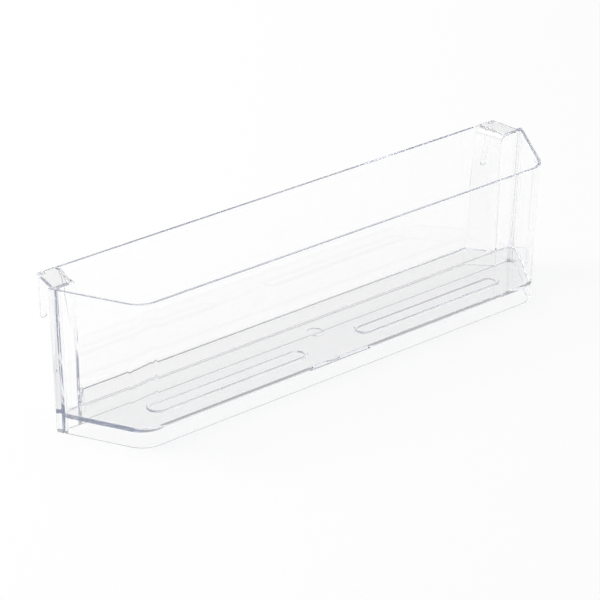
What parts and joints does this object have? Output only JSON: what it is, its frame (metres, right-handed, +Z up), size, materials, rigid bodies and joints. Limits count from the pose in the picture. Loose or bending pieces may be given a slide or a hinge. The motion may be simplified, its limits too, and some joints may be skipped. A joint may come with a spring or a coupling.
{
  "type": "fridge door shelf",
  "caption": "Deep clear plastic door shelf for a fridge: tapered open bin with a raised floor, slanted ends, and a hook pocket with a hanging tongue at each back corner.",
  "frame": {"origin": "centre of the bounding box at the rest face", "axes": "+X along the door, +Y towards the door, +Z up"},
  "size_m": [0.4738, 0.0949, 0.1215],
  "materials": {
    "clear_plastic": "clear, polished, blue-grey at cut edges"
  },
  "bodies": {
    "root": {"door_shelf": "clear_plastic"}
  },
  "joints": []
}
